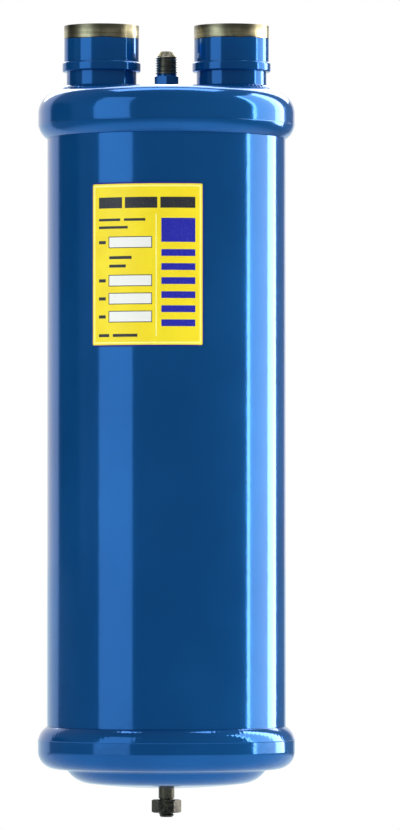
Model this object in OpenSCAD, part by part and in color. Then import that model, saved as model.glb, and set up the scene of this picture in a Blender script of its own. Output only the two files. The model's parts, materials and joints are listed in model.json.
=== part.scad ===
// Oil separator for a refrigeration circuit: a welded vessel with two solder stubs and a flare
// fitting on top, a stud under it, and screens, a baffle and a float valve inside.
// Millimetres, +Z up, front towards -Y. Z is 0 at the lowest point of the bottom head.

/* [Vessel] */
// Outside diameter of the shell tube
shell_od = 121; // [112:1:140]
// Wall of the shell tube
shell_wall = 3; // [2:0.5:3.5]
// Height over the two heads
vessel_h = 353; // [335:1:450]
// Sheet of the two heads
head_wall = 4.5; // [3:0.5:6]
// Radial gap between the skirt of a head and the shell
head_clearance = 0.15; // [0.05:0.05:0.3]
// Gap between the end of the shell and the bend of a head
shell_end_gap = 1; // [0.5:0.5:2]
// Outer bend of the top head
top_knuckle_r = 11; // [8:0.5:12]
// Straight skirt of the top head
top_skirt = 6; // [4:0.5:14]
// Outer bend of the bottom head
bottom_knuckle_r = 9; // [7.5:0.5:11]
// Straight skirt of the bottom head
bottom_skirt = 5.5; // [4:0.5:14]
// Depth of the pan below the shoulder of the bottom head
pan_depth = 9.8; // [8:0.2:12]
// Flat shoulder between the pan and the outer bend
shoulder_w = 3.2; // [1:0.2:5]
// Bend at the edge of the pan
pan_edge_r = 15; // [13:0.5:18]
// Hollow between the pan and the shoulder
pan_fillet_r = 4; // [3:0.5:5]
// Radius of the crown of the pan
crown_r = 320; // [240:10:500]
// Height of a girth weld along the shell
girth_weld_h = 7; // [4:0.5:9]
// Rounding of the face of a girth weld
girth_weld_r = 9; // [7:0.5:20]

/* [Stubs] */
// Gap between the screen under a stub and the shell
screen_gap = 2; // [0.5:0.5:3]
// Bore of a solder socket
socket_d = 35.1; // [28:0.1:35.5]
// Wall of a solder socket
socket_wall = 1.45; // [1:0.05:1.8]
// Depth of a solder socket
socket_depth = 22; // [16:1:30]
// How far the bead stands out of the socket
bead_out = 0.9; // [0.5:0.1:1.5]
// Height of the bead
bead_h = 5; // [4:0.5:7]
// Height of the neck under the bead
neck_h = 10; // [8:0.5:20]
// Step from the socket to the neck
neck_step = 1.25; // [0.8:0.05:1.4]
// Wall of the neck
neck_wall = 2; // [1.5:0.1:2.5]
// Length of the neck inside the vessel
neck_tail = 9; // [7:0.5:14]
// Leg of the weld at the foot of a stub
stub_weld_leg = 3.2; // [2:0.2:4]

/* [Oil return fitting] */
// Hexagon across flats
fitting_af = 12; // [12:0.5:17]
// Height of the hexagon
fitting_hex_h = 8; // [6:0.5:14]
// Diameter of the flare thread
flare_d = 11.11; // [10:0.01:11.5]
// Length of the flare thread
flare_thread_l = 8.8; // [7:0.2:14]
// Undercut between the hexagon and the thread
flare_relief_h = 1.2; // [0.8:0.1:2]
// Height of the conical nose
flare_nose_h = 2.6; // [2:0.1:3]
// Bore through the fitting
fitting_bore_d = 4.8; // [4:0.1:5.2]
// Diameter of the part that goes through the head
fitting_spigot_d = 11.4; // [10:0.1:11.8]
// Length of the spigot inside the vessel
fitting_tail = 12; // [10:0.5:18]
// Leg of the weld at the foot of the fitting
fitting_weld_leg = 2; // [1.2:0.1:2.6]

/* [Stud and nut] */
// Diameter of the plain shank
stud_d = 8; // [6:0.5:10]
// Length of the plain shank
stud_shank_l = 5.3; // [4:0.1:12]
// Depth of the relief between the shank and the thread
stud_relief = 0.5; // [0.3:0.1:0.8]
// Length of the relief
stud_relief_l = 0.6; // [0.4:0.1:1]
// Length of the threaded end
stud_thread_l = 8.8; // [7.5:0.1:16]
// Gap between the thread of the stud and the nut
thread_gap = 0.1; // [0.05:0.05:0.2]
// Nut across flats
nut_af = 13; // [13:0.5:17]
// Height of the nut
nut_h = 6.6; // [5:0.1:7.2]

/* [Label] */
// Width of the label around the shell
label_w = 59; // [30:1:80]
// Height of the label
label_h = 82; // [40:1:100]
// Thickness of the label
label_t = 0.25; // [0.15:0.05:0.5]
// Corner rounding of the label
label_corner_r = 3; // [1:0.5:6]
// Turn of the label to the left of the front
label_turn = 9.7; // [-30:0.1:30]
// Height of the middle of the label under the top of the vessel
label_drop = 90; // [80:1:130]

/* [Screens] */
// Length of the inlet screen
inlet_screen_l = 106; // [60:1:120]
// Length of the outlet screen
outlet_screen_l = 70; // [50:1:120]
// Sheet of the perforated cores
core_wall = 0.8; // [0.6:0.1:1]
// Diameter of the holes in the cores
core_hole_d = 6; // [4:0.5:7]
// Distance between the rows of holes
core_pitch = 10; // [9:0.5:14]
// Thickness of the mesh sleeves
mesh_t = 2.8; // [2:0.1:3]
// Sheet of the rings and the cups
screen_sheet = 1; // [0.8:0.1:1.2]
// Upstand of a cup around the mesh
cup_h = 7; // [5:0.5:12]

/* [Baffle and oil return tube] */
// Height of the baffle plate
baffle_z = 130; // [125:1:140]
// Sheet of the baffle plate
baffle_t = 1.5; // [1:0.1:2]
// Flange of the baffle plate
baffle_flange = 8; // [5:0.5:10]
// Diameter of the holes in the baffle plate
baffle_hole_d = 7; // [4:0.5:8]
// Diameter of the oil return tube
tube_d = 6.35; // [5:0.05:6.5]
// Wall of the oil return tube
tube_wall = 0.8; // [0.6:0.1:1]
// How far a brazed elbow stands out of the tube
elbow_wall = 0.9; // [0.6:0.1:1.4]
// Slope of the middle part of the tube from upright
tube_slope = 45; // [35:1:55]

/* [Float valve] */
// Distance from the shell to the bracket plate
bracket_depth = 7.5; // [6.5:0.5:9]
// Sheet of the bracket
bracket_t = 2; // [1.5:0.5:3]
// Width of the bracket
bracket_w = 32; // [30:1:36]
// Height of the valve body
body_h = 28; // [27:1:32]
// Width of the valve body
body_w = 22; // [22:1:24]
// Depth of the valve body
body_d = 24; // [23:0.5:26]
// Distance of the tube from the needle
tube_offset = 16; // [16:0.5:18]
// Height of the lever pivot
pivot_z = 62; // [60:1:68]
// Distance from the pivot to the needle
needle_arm = 12; // [11.5:0.5:13]
// Diameter of the needle in its guide
needle_d = 7.8; // [7:0.1:8]
// Gap between the needle and its guide
needle_clearance = 0.15; // [0.1:0.05:0.3]
// Bore of the valve seat
seat_bore_d = 2; // [1.5:0.1:2.6]
// Diameter of the lever pin
pin_d = 3; // [2.5:0.1:3.5]
// Gap between the lever and its pin
pin_clearance = 0.1; // [0.05:0.05:0.2]
// Gap between the lever and each ear
ear_gap = 0.5; // [0.4:0.1:0.8]
// Width of the lever
lever_w = 9; // [8:0.5:10]
// Sheet of the lever
lever_t = 2; // [1.5:0.1:2.2]
// Diameter of the bracket screws
screw_d = 4; // [3:0.5:4]

/* [Float] */
// Rise of the float above the lever pivot
tab_rise = 8; // [7:0.5:10]
// Diameter of the float ball
float_d = 56; // [50:1:58]
// Wall of the float ball
float_wall = 0.8; // [0.5:0.1:1.2]
// Gap between the float and the shell
float_gap = 5.5; // [4:0.5:8]
// Length of the boss on the float
boss_l = 4; // [3:0.5:6]
// Diameter of the boss
boss_d = 10; // [9:0.5:12]
// Diameter of the boss stud
boss_stud_d = 4; // [3:0.5:4]
// Diameter of the sump magnet
magnet_d = 36; // [28:1:44]
// Height of the sump magnet
magnet_h = 6; // [4:0.5:9]

/* [Hidden] */
$fn = 96;
// Gap between pieces that are pressed, brazed or glued to each other
seat_gap = 0.05;
// Overshoot of a cut
cut = 1;

// Vessel
shell_r = shell_od / 2;
shell_ir = shell_r - shell_wall;
head_ir = shell_r + head_clearance;
head_r = head_ir + head_wall;
top_in_z = vessel_h - head_wall;
top_skirt_z = vessel_h - top_knuckle_r - top_skirt;
bottom_skirt_z = pan_depth + bottom_knuckle_r + bottom_skirt;
shell_low_z = pan_depth + bottom_knuckle_r + shell_end_gap;
shell_high_z = vessel_h - top_knuckle_r - shell_end_gap;

// Pan of the bottom head: the fillet touches the shoulder and the edge, the edge touches the crown
fillet_x = head_r - bottom_knuckle_r - shoulder_w;
fillet_z = pan_depth - pan_fillet_r;
function edge_z(x) = crown_r - sqrt(pow(crown_r - pan_edge_r, 2) - x * x);
function edge_reach(x) = sqrt(pow(pan_edge_r + pan_fillet_r, 2) - pow(edge_z(x) - fillet_z, 2));
function edge_x(x, n) = n == 0 ? x : edge_x(fillet_x - edge_reach(x), n - 1);
pan_x = edge_x(fillet_x - pan_edge_r, 16);
pan_z = edge_z(pan_x);
function crown_in_z(r) = crown_r - sqrt(pow(crown_r - head_wall, 2) - r * r);

// Girth weld face: a circle through the rim of the skirt and the toe on the shell
weld_in_r = shell_r + seat_gap;
weld_chord = sqrt(pow(head_r - weld_in_r, 2) + pow(girth_weld_h, 2));
weld_back = sqrt(pow(girth_weld_r, 2) - pow(weld_chord / 2, 2));
weld_x = (head_r + weld_in_r) / 2 - weld_back * girth_weld_h / weld_chord;
weld_z = girth_weld_h / 2 - weld_back * (head_r - weld_in_r) / weld_chord;

// Stubs
socket_r = socket_d / 2;
socket_or = socket_r + socket_wall;
bead_r = socket_or + bead_out;
neck_r = socket_or - neck_step;
neck_ir = neck_r - neck_wall;
bead_z = vessel_h + neck_h;
socket_floor_z = bead_z + 1.5;
stub_top_z = socket_floor_z + socket_depth;

// Oil return fitting
fitting_corner_r = fitting_af / 2 / cos(30);
hex_top_z = vessel_h + fitting_hex_h;
thread_low_z = hex_top_z + flare_relief_h;
thread_high_z = thread_low_z + flare_thread_l;
fitting_top_z = thread_high_z + flare_nose_h;
nose_r = flare_d / 2 - 0.5;
tube_r = tube_d / 2;
tube_seat_z = top_in_z - 2;

// Stud and nut
stud_r = stud_d / 2;
stud_thread_r = stud_r - 0.1;
thread_top_z = -stud_shank_l - stud_relief_l;
stud_end_z = thread_top_z - stud_thread_l;
nut_top_z = thread_top_z;
nut_corner_r = nut_af / 2 / cos(30);

// Screens
core_ir = neck_r + seat_gap;
core_r = core_ir + core_wall;
mesh_ir = core_r + seat_gap;
mesh_r = mesh_ir + mesh_t;
cup_ir = mesh_r + seat_gap;
cup_r = cup_ir + screen_sheet;
screen_top_z = top_in_z - 2;
core_cols = 10;

// Stubs stand as far out as the screens under them allow, and their welds share the room between
stub_x = shell_ir - cup_r - screen_gap;
weld_room = stub_x - neck_r - fitting_corner_r - 2 * seat_gap;
stub_leg = min(stub_weld_leg, weld_room * 0.55);
fitting_leg = min(fitting_weld_leg, weld_room * 0.4);

// Float valve
body_back_y = shell_ir - bracket_depth;
body_front_y = body_back_y - body_d;
body_top_z = pivot_z - 6;
body_low_z = body_top_z - body_h;
pivot_y = body_back_y - 6;
needle_y = pivot_y - needle_arm;
guide_r = needle_d / 2 + needle_clearance;
seat_floor_z = body_top_z - 20;
seat_top_z = seat_floor_z + 4;
passage_z = body_low_z + 4.5;
passage_r = 1.8;
lug_x = tube_offset + tube_r + 3.8;
lug_y = 7;
tube_floor_z = body_top_z - 10;
plug_l = 4;
plug_r = 2.6;
screw_x = 7.4;
screw_z = body_top_z - 10;
screw_head_h = 4;
screw_head_r = screw_d * 0.85;
pin_r = pin_d / 2;
ear_x = lever_w / 2 + ear_gap;
ear_t = 3.5;
ear_r = 5;
clip_t = 0.8;
clip_x = ear_x + ear_t + 0.1;
pin_end_x = clip_x + clip_t + 1.2;
barrel_r = 4;

// Needle and the notch in the lever that holds it
neck_gap = 0.8;
needle_neck_r = 1.2;
needle_head_r = 2.4;
needle_head_h = 1.5;
notch_r = 1.9;
needle_low_z = pivot_z - lever_t / 2 - neck_gap;
needle_high_z = pivot_z + lever_t / 2 + neck_gap;
needle_tip_z = seat_top_z - 1;

// Float: its boss sits on a tab that rises from the lever
float_r = float_d / 2;
float_z = pivot_z + tab_rise;
float_y = float_gap + float_r - shell_ir;
boss_y = float_y + float_r;
tab_y = boss_y + boss_l;
tab_t = lever_t;
boss_nut_af = boss_stud_d * 1.75;
boss_nut_h = boss_stud_d * 0.8;
boss_end_y = tab_y + tab_t + boss_nut_h + 1.5;

// Oil return tube: from the valve body up to the fitting over two elbows
tube_run = sqrt(pow(tube_offset, 2) + pow(needle_y, 2));
tube_turn = atan2(needle_y, tube_offset);
elbow_low_z = baffle_z + 14;
elbow_high_z = elbow_low_z + tube_run / tan(tube_slope);
tube_low_z = tube_floor_z + seat_gap;
tube_high_z = tube_seat_z - seat_gap;

// Baffle
baffle_r = shell_ir - 0.2;
baffle_ring_r = shell_ir - 9.5;

// Label
label_r = shell_r + seat_gap;
label_z = vessel_h - label_drop;
label_angle = label_w / label_r * 180 / PI;

// Colours
paint = [0.09, 0.24, 0.47];
steel = [0.62, 0.62, 0.62];
brass = [0.72, 0.62, 0.36];
copper = [0.72, 0.45, 0.32];
zinc = [0.5, 0.47, 0.36];

// Shared shapes

// Half section of a cap from its rim up to a flat top with a rounded edge
module cap_2d(r, low, high, edge) {
  intersection() {
    translate([0, low])
      square([r + cut, high - low + cut]);
    union() {
      translate([0, low])
        square([r, high - edge - low]);
      translate([0, low])
        square([r - edge, high - low]);
      translate([r - edge, high - edge])
        circle(edge);
    }
  }
}

// Half section of everything above the bottom head, drawn in by the sheet d
module bowl_2d(d, high) {
  intersection() {
    translate([0, -cut])
      square([head_r + cut, high + cut]);
    union() {
      translate([0, pan_depth + bottom_knuckle_r])
        square([head_r - d, high]);
      translate([0, pan_depth + d])
        square([head_r - bottom_knuckle_r, high]);
      translate([head_r - bottom_knuckle_r, pan_depth + bottom_knuckle_r])
        circle(bottom_knuckle_r - d);
      translate([pan_x, pan_z])
        circle(pan_edge_r - d);
      intersection() {
        translate([0, crown_r])
          circle(crown_r - d, $fn = 720);
        polygon([[0, crown_r], [2 * pan_x, 2 * pan_z - crown_r], [0, 2 * pan_z - crown_r]]);
      }
      difference() {
        polygon([[pan_x, pan_z], [fillet_x, fillet_z], [fillet_x, pan_z]]);
        translate([fillet_x, fillet_z])
          circle(pan_fillet_r + d);
      }
    }
  }
}

// Ring weld with its foot at z = 0 and its toe at z = girth_weld_h
module girth_weld() {
  rotate_extrude()
    intersection() {
      translate([weld_in_r, 0])
        square([head_r - weld_in_r + cut, girth_weld_h]);
      translate([weld_x, weld_z])
        circle(girth_weld_r);
    }
}

// Fillet weld around an upright pipe
module foot_weld(r, leg) {
  rotate_extrude()
    polygon([[r, 0], [r + leg, 0], [r + leg * 0.6, leg * 0.55], [r, leg]]);
}

// Rectangle with rounded corners around the origin
module rounded_2d(w, h, r) {
  square([w - 2 * r, h], center = true);
  square([w, h - 2 * r], center = true);
  for (sx = [-1, 1])
    for (sy = [-1, 1])
      translate([sx * (w / 2 - r), sy * (h / 2 - r)])
        circle(r);
}

// Solder stub on the axis
module stub() {
  rotate_extrude()
    difference() {
      union() {
        translate([0, top_in_z - neck_tail])
          square([neck_r, stub_top_z - top_in_z + neck_tail]);
        translate([0, bead_z + 1])
          square([socket_or, stub_top_z - bead_z - 1]);
        translate([0, bead_z])
          square([bead_r - 1, bead_h]);
        translate([0, bead_z + 1])
          square([bead_r, bead_h - 2]);
        translate([bead_r - 1, bead_z + 1])
          circle(1);
        translate([bead_r - 1, bead_z + bead_h - 1])
          circle(1);
      }
      translate([0, top_in_z - neck_tail - cut])
        square([neck_ir, stub_top_z]);
      translate([0, socket_floor_z])
        square([socket_r, stub_top_z]);
    }
}

// Perforated core with its top at z = 0
module screen_core(l) {
  rows = floor((l - 18) / core_pitch);
  difference() {
    translate([0, 0, -l])
      cylinder(h = l, r = core_r);
    translate([0, 0, -l - cut])
      cylinder(h = l + 2 * cut, r = core_ir);
    for (row = [0 : rows - 1])
      for (col = [0 : core_cols - 1])
        rotate([0, 0, (col + row % 2 / 2) * 360 / core_cols])
          translate([core_ir - cut, 0, -14 - row * core_pitch])
            rotate([0, 90, 0])
              cylinder(h = core_wall + 2 * cut, d = core_hole_d, $fn = 24);
  }
}

// Mesh sleeve with its top under the ring
module screen_mesh(l) {
  translate([0, 0, -l])
    difference() {
      cylinder(h = l - screen_sheet, r = mesh_r);
      translate([0, 0, -cut])
        cylinder(h = l + cut, r = mesh_ir);
    }
}

// Ring that closes the top of the mesh
module screen_ring() {
  translate([0, 0, -screen_sheet])
    difference() {
      cylinder(h = screen_sheet, r = cup_r);
      translate([0, 0, -cut])
        cylinder(h = screen_sheet + 2 * cut, r = core_r + seat_gap);
    }
}

// Cup that closes the bottom of the core and the mesh
module screen_cup(l) {
  translate([0, 0, -l - screen_sheet])
    difference() {
      cylinder(h = cup_h + screen_sheet, r = cup_r);
      translate([0, 0, screen_sheet])
        cylinder(h = cup_h + cut, r = cup_ir);
    }
}

// Hexagon nut on its axis, chamfered at both ends
module hex_nut(af, h, hole_r) {
  corner_r = af / 2 / cos(30);
  chamfer = corner_r - af / 2;
  difference() {
    intersection() {
      cylinder(h = h, r = corner_r, $fn = 6);
      rotate_extrude()
        polygon([[0, 0], [af / 2 - 0.2, 0], [corner_r + 0.1, chamfer * 0.7],
          [corner_r + 0.1, h - chamfer * 0.7], [af / 2 - 0.2, h], [0, h]]);
    }
    translate([0, 0, -cut])
      cylinder(h = h + 2 * cut, r = hole_r);
  }
}

// Cap screw along -Y with its head at y = 0, driven from the front
module bracket_screw() {
  rotate([-90, 0, 0])
    difference() {
      union() {
        translate([0, 0, -screw_head_h])
          cylinder(h = screw_head_h, r = screw_head_r);
        cylinder(h = body_d + bracket_t, d = screw_d);
      }
      translate([0, 0, -screw_head_h - cut])
        cylinder(h = 2 + cut, r = screw_d * 0.43, $fn = 6);
    }
}

// Open clip in a groove of the lever pin
module pin_clip() {
  difference() {
    rotate([0, 90, 0])
      cylinder(h = clip_t, r = pin_r + 1.4);
    rotate([0, 90, 0])
      translate([0, 0, -cut])
        cylinder(h = clip_t + 2 * cut, r = pin_r * 0.75 + seat_gap);
    translate([-cut, -pin_r * 0.6, -3 * pin_r])
      cube([clip_t + 2 * cut, pin_r * 1.2, 3 * pin_r]);
  }
}

// Half of the hollow ball, towards +Y
module float_half() {
  rotate([-90, 0, 0])
    rotate_extrude()
      difference() {
        circle(float_r);
        circle(float_r - float_wall);
        translate([-2 * float_r, -float_r - cut])
          square([2 * float_r, 2 * float_r + 2 * cut]);
        translate([-cut, -float_r - cut])
          square([float_r + 2 * cut, float_r + cut]);
      }
}

// Return line in the plane of X and Z, drawn as bars of radius r with a ball at each elbow
module tube_path(r, elbow_r, over) {
  translate([tube_run, 0, tube_low_z - over])
    cylinder(h = elbow_low_z - tube_low_z + over, r = r);
  translate([tube_run, 0, elbow_low_z])
    sphere(r = elbow_r);
  translate([tube_run, 0, elbow_low_z])
    rotate([0, -tube_slope, 0])
      cylinder(h = tube_run / sin(tube_slope), r = r);
  translate([0, 0, elbow_high_z])
    sphere(r = elbow_r);
  translate([0, 0, elbow_high_z])
    cylinder(h = tube_high_z - elbow_high_z + over, r = r);
}

// Vessel

module shell() {
  color(paint)
    translate([0, 0, shell_low_z])
      difference() {
        cylinder(h = shell_high_z - shell_low_z, r = shell_r);
        translate([0, 0, -cut])
          cylinder(h = shell_high_z - shell_low_z + 2 * cut, r = shell_ir);
      }
}

module top_head() {
  color(paint)
    difference() {
      rotate_extrude()
        difference() {
          cap_2d(head_r, top_skirt_z, vessel_h, top_knuckle_r);
          cap_2d(head_ir, top_skirt_z - cut, top_in_z, top_knuckle_r - head_wall);
        }
      for (side = [-1, 1])
        translate([side * stub_x, 0, top_in_z - cut])
          cylinder(h = head_wall + 2 * cut, r = neck_r + seat_gap);
      translate([0, 0, top_in_z - cut])
        cylinder(h = head_wall + 2 * cut, r = fitting_spigot_d / 2 + seat_gap);
    }
}

module bottom_head() {
  color(paint)
    rotate_extrude()
      difference() {
        bowl_2d(0, bottom_skirt_z);
        bowl_2d(head_wall, bottom_skirt_z + cut);
      }
}

module upper_girth_weld() {
  color(paint)
    translate([0, 0, top_skirt_z])
      mirror([0, 0, 1])
        girth_weld();
}

module lower_girth_weld() {
  color(paint)
    translate([0, 0, bottom_skirt_z])
      girth_weld();
}

module inlet_stub() {
  color(paint)
    translate([-stub_x, 0, 0])
      stub();
}

module outlet_stub() {
  color(paint)
    translate([stub_x, 0, 0])
      stub();
}

module inlet_stub_weld() {
  color(paint)
    translate([-stub_x, 0, vessel_h])
      foot_weld(neck_r + seat_gap, stub_leg);
}

module outlet_stub_weld() {
  color(paint)
    translate([stub_x, 0, vessel_h])
      foot_weld(neck_r + seat_gap, stub_leg);
}

module oil_return_fitting() {
  color(brass)
    difference() {
      union() {
        rotate_extrude()
          polygon([[0, top_in_z - fitting_tail], [fitting_spigot_d / 2, top_in_z - fitting_tail],
            [fitting_spigot_d / 2, vessel_h + 1], [nose_r, vessel_h + 1],
            [nose_r, thread_low_z], [flare_d / 2, thread_low_z],
            [flare_d / 2, thread_high_z], [nose_r, thread_high_z],
            [nose_r - flare_nose_h * 0.7, fitting_top_z], [0, fitting_top_z]]);
        translate([0, 0, vessel_h])
          rotate([0, 0, 30])
            cylinder(h = fitting_hex_h, r = fitting_corner_r, $fn = 6);
      }
      translate([0, 0, top_in_z - fitting_tail - cut])
        cylinder(h = fitting_top_z, d = fitting_bore_d);
      translate([0, 0, top_in_z - fitting_tail - cut])
        cylinder(h = tube_seat_z - top_in_z + fitting_tail + cut, r = tube_r + seat_gap);
    }
}

module fitting_weld() {
  color(paint)
    translate([0, 0, vessel_h])
      foot_weld(fitting_corner_r + seat_gap, fitting_leg);
}

module mounting_stud() {
  color(zinc)
    rotate_extrude()
      polygon([[0, 0], [stud_r, 0], [stud_r, -stud_shank_l], [stud_r - stud_relief, -stud_shank_l],
        [stud_r - stud_relief, thread_top_z], [stud_thread_r, thread_top_z],
        [stud_thread_r, stud_end_z + 1], [stud_thread_r - 1, stud_end_z], [0, stud_end_z]]);
}

module mounting_nut() {
  color(zinc)
    translate([0, 0, nut_top_z - nut_h])
      hex_nut(nut_af, nut_h, stud_thread_r + thread_gap);
}

module rating_label() {
  color([0.96, 0.86, 0.1])
    intersection() {
      translate([0, 0, label_z - label_h])
        difference() {
          cylinder(h = 2 * label_h, r = label_r + label_t);
          translate([0, 0, -cut])
            cylinder(h = 2 * label_h + 2 * cut, r = label_r);
        }
      rotate([0, 0, -label_turn])
        translate([0, 0, label_z])
          rotate([90, 0, 0])
            linear_extrude(2 * shell_r)
              rounded_2d(2 * label_r * sin(label_angle / 2), label_h, label_corner_r);
    }
}

// Screens

module inlet_core() {
  color(steel)
    translate([-stub_x, 0, screen_top_z])
      screen_core(inlet_screen_l);
}

module inlet_mesh() {
  color(steel)
    translate([-stub_x, 0, screen_top_z])
      screen_mesh(inlet_screen_l);
}

module inlet_ring() {
  color(steel)
    translate([-stub_x, 0, screen_top_z])
      screen_ring();
}

module inlet_cup() {
  color(steel)
    translate([-stub_x, 0, screen_top_z])
      screen_cup(inlet_screen_l);
}

module outlet_core() {
  color(steel)
    translate([stub_x, 0, screen_top_z])
      screen_core(outlet_screen_l);
}

module outlet_mesh() {
  color(steel)
    translate([stub_x, 0, screen_top_z])
      screen_mesh(outlet_screen_l);
}

module outlet_ring() {
  color(steel)
    translate([stub_x, 0, screen_top_z])
      screen_ring();
}

module outlet_cup() {
  color(steel)
    translate([stub_x, 0, screen_top_z])
      screen_cup(outlet_screen_l);
}

// Baffle and oil return

module baffle_plate() {
  color(steel)
    difference() {
      translate([0, 0, baffle_z - baffle_flange])
        cylinder(h = baffle_flange, r = baffle_r);
      translate([0, 0, baffle_z - baffle_flange - cut])
        cylinder(h = baffle_flange - baffle_t + cut, r = baffle_r - baffle_t);
      translate([tube_offset, needle_y, baffle_z - baffle_t - cut])
        cylinder(h = baffle_t + 2 * cut, r = tube_r + 0.4);
      for (step = [0 : 15])
        rotate([0, 0, step * 22.5])
          translate([baffle_ring_r, 0, baffle_z - baffle_t - cut])
            cylinder(h = baffle_t + 2 * cut, d = baffle_hole_d, $fn = 32);
      for (step = [0 : 7])
        rotate([0, 0, step * 45])
          translate([baffle_ring_r / 2, 0, baffle_z - baffle_t - cut])
            cylinder(h = baffle_t + 2 * cut, d = baffle_hole_d, $fn = 32);
    }
}

module oil_return_tube() {
  color(copper)
    rotate([0, 0, tube_turn])
      difference() {
        tube_path(tube_r, tube_r + elbow_wall, 0);
        tube_path(tube_r - tube_wall, tube_r - tube_wall + elbow_wall / 2, cut);
      }
}

// Float valve

module valve_body() {
  color(brass)
    difference() {
      union() {
        translate([-body_w / 2, body_front_y, body_low_z])
          cube([body_w, body_d, body_h]);
        translate([0, body_front_y, body_low_z])
          cube([lug_x, needle_y + lug_y - body_front_y, body_h]);
        for (side = [-1, 1])
          translate([side * (ear_x + ear_t / 2), pivot_y, pivot_z])
            rotate([0, 90, 0])
              cylinder(h = ear_t, r = ear_r, center = true);
        for (side = [-1, 1])
          translate([side * (ear_x + ear_t / 2) - ear_t / 2, pivot_y - ear_r, body_top_z - cut])
            cube([ear_t, 2 * ear_r, pivot_z - body_top_z + cut]);
      }
      translate([0, needle_y, seat_floor_z])
        cylinder(h = body_top_z - seat_floor_z + cut, r = guide_r);
      translate([0, needle_y, passage_z])
        cylinder(h = seat_floor_z - passage_z + cut, r = passage_r);
      translate([0, needle_y, passage_z])
        rotate([0, 90, 0])
          cylinder(h = lug_x + cut, r = passage_r);
      translate([lug_x - plug_l, needle_y, passage_z])
        rotate([0, 90, 0])
          cylinder(h = plug_l + cut, r = plug_r + seat_gap);
      translate([0, body_front_y - cut, seat_top_z + 3.5])
        rotate([-90, 0, 0])
          cylinder(h = needle_y - body_front_y + cut, r = 2);
      translate([tube_offset, needle_y, passage_z])
        cylinder(h = tube_floor_z - passage_z + cut, r = passage_r);
      translate([tube_offset, needle_y, tube_floor_z])
        cylinder(h = body_top_z - tube_floor_z + cut, r = tube_r + seat_gap);
      for (side = [-1, 1])
        translate([side * screw_x, body_front_y - cut, screw_z])
          rotate([-90, 0, 0])
            cylinder(h = body_d + 2 * cut, r = screw_d / 2 + seat_gap);
      translate([0, pivot_y, pivot_z])
        rotate([0, 90, 0])
          cylinder(h = body_w * 2, r = pin_r + seat_gap, center = true);
    }
}

module valve_seat() {
  color(steel)
    translate([0, needle_y, 0])
      rotate_extrude()
        polygon([[seat_bore_d / 2, seat_floor_z], [guide_r - seat_gap, seat_floor_z],
          [guide_r - seat_gap, seat_top_z], [seat_bore_d / 2 + 1, seat_top_z],
          [seat_bore_d / 2, seat_top_z - 1]]);
}

module passage_plug() {
  color(brass)
    translate([lug_x, needle_y, passage_z])
      rotate([0, -90, 0])
        difference() {
          cylinder(h = plug_l, r = plug_r);
          translate([0, 0, -cut])
            cylinder(h = 2 + cut, r = plug_r * 0.55, $fn = 6);
        }
}

module float_bracket() {
  color(steel)
    difference() {
      intersection() {
        union() {
          translate([-bracket_w / 2, body_back_y, body_low_z])
            cube([bracket_w, bracket_t, body_h + 14]);
          for (side = [0, 1])
            translate([side * (bracket_w - bracket_t) - bracket_w / 2, body_back_y, body_low_z])
              cube([bracket_t, shell_ir, body_h + 14]);
        }
        cylinder(h = vessel_h, r = shell_ir - seat_gap);
      }
      for (side = [-1, 1])
        translate([side * screw_x, body_back_y - cut, screw_z])
          rotate([-90, 0, 0])
            cylinder(h = bracket_t + 2 * cut, r = screw_d / 2 + seat_gap);
    }
}

module bracket_screw_left() {
  color(zinc)
    translate([-screw_x, body_front_y, screw_z])
      bracket_screw();
}

module bracket_screw_right() {
  color(zinc)
    translate([screw_x, body_front_y, screw_z])
      bracket_screw();
}

module lever_pin() {
  color(steel)
    translate([0, pivot_y, pivot_z])
      rotate([0, 90, 0])
        rotate_extrude()
          polygon([[0, -pin_end_x], [pin_r, -pin_end_x],
            [pin_r, -clip_x - clip_t - 0.1], [pin_r * 0.75, -clip_x - clip_t - 0.1],
            [pin_r * 0.75, 0.05 - clip_x], [pin_r, 0.05 - clip_x],
            [pin_r, clip_x - 0.05], [pin_r * 0.75, clip_x - 0.05],
            [pin_r * 0.75, clip_x + clip_t + 0.1], [pin_r, clip_x + clip_t + 0.1],
            [pin_r, pin_end_x], [0, pin_end_x]]);
}

module pin_clip_left() {
  color(steel)
    translate([-clip_x - clip_t, pivot_y, pivot_z])
      pin_clip();
}

module pin_clip_right() {
  color(steel)
    translate([clip_x, pivot_y, pivot_z])
      pin_clip();
}

module needle() {
  color(steel)
    translate([0, needle_y, 0])
      rotate_extrude()
        polygon([[0, needle_tip_z], [seat_bore_d / 2 - 0.2, needle_tip_z + 0.3],
          [needle_d / 2, needle_tip_z + needle_d / 2 - seat_bore_d / 2 + 0.5],
          [needle_d / 2, body_top_z - 1], [needle_head_r, body_top_z + 0.6],
          [needle_head_r, needle_low_z], [needle_neck_r, needle_low_z],
          [needle_neck_r, needle_high_z], [needle_head_r, needle_high_z],
          [needle_head_r, needle_high_z + needle_head_h], [0, needle_high_z + needle_head_h]]);
}

// Float

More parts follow.
